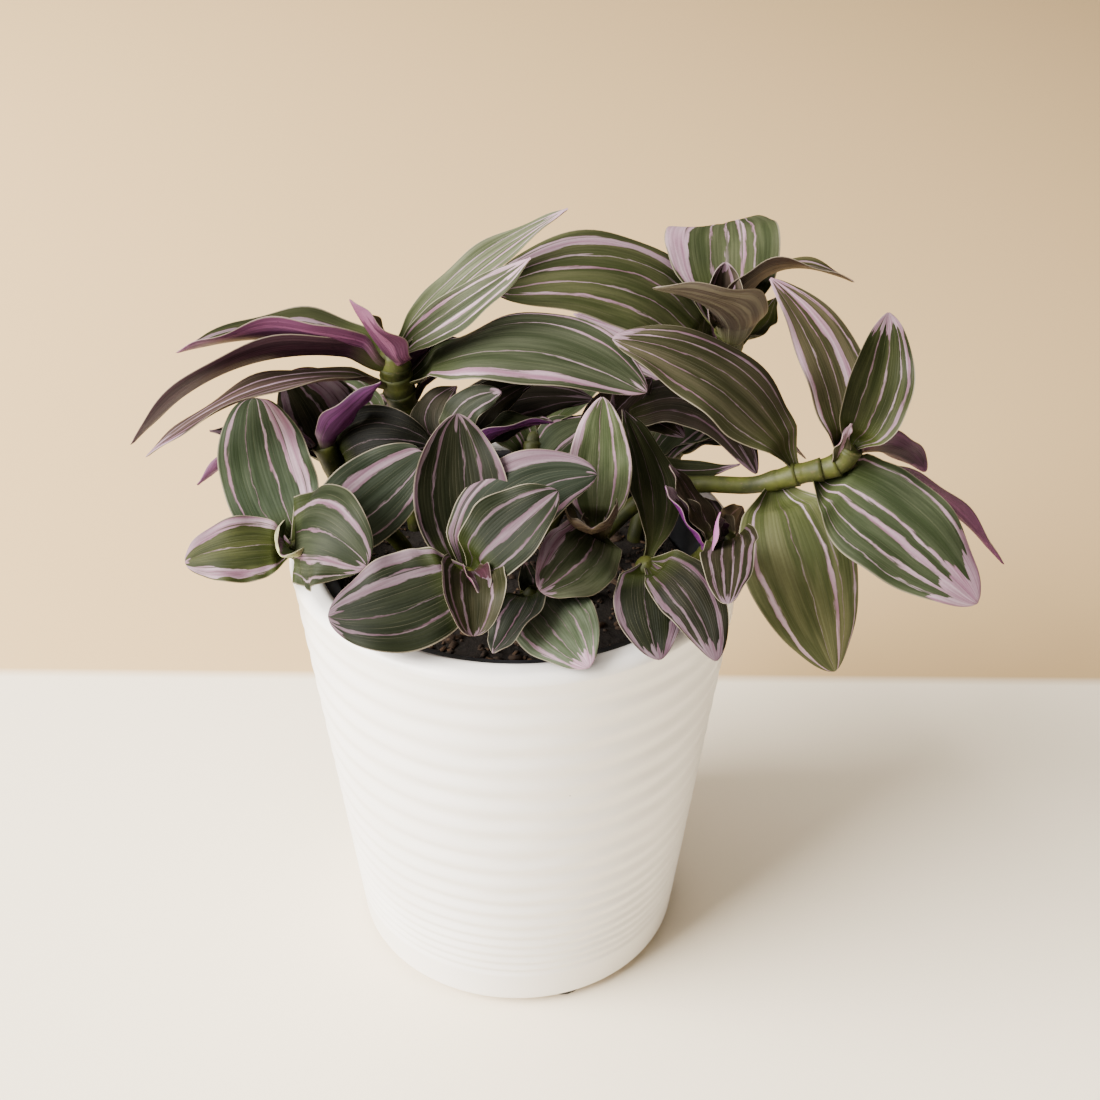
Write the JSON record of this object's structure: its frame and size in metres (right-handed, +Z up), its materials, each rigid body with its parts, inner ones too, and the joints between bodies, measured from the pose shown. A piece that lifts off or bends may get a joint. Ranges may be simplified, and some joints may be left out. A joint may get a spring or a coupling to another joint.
{
  "type": "potted tradescantia",
  "caption": "Tradescantia with arching, pink-striped green leaves on fleshy stems, in a dark nursery pot standing in a ribbed, tapered white ceramic cover pot on small rubber pads.",
  "frame": {"origin": "middle of the footprint of the whole plant and pot, on the surface it stands on; the pot's axis is 19.6 mm to -X and 13.9 mm to -Y of it", "axes": "+Z up; +X along the longest spread of the foliage, to the right as the picture shows it; +Y away from the picture's viewer"},
  "size_m": [0.2668, 0.1718, 0.2446],
  "materials": {
    "glaze": "satin",
    "foot_pads": "matte",
    "nursery_pot": "satin",
    "soil": "matte",
    "foliage": "satin"
  },
  "bodies": {
    "root": {"cover_pot": "glaze", "foot_pad_1": "foot_pads", "foot_pad_2": "foot_pads", "foot_pad_3": "foot_pads", "nursery_pot": "nursery_pot", "soil": "soil", "crown_left": "foliage", "crown_right": "foliage", "crown_far_right": "foliage", "shoot_mid_right": "foliage", "rosette_left": "foliage", "shoot_left_back": "foliage", "shoot_centre": "foliage", "rosette_front": "foliage", "rosette_front_low": "foliage", "rosette_mid": "foliage", "rosette_right": "foliage", "rosette_far_right": "foliage", "shoot_back_left": "foliage", "shoot_back": "foliage", "shoot_back_right": "foliage"}
  },
  "joints": []
}
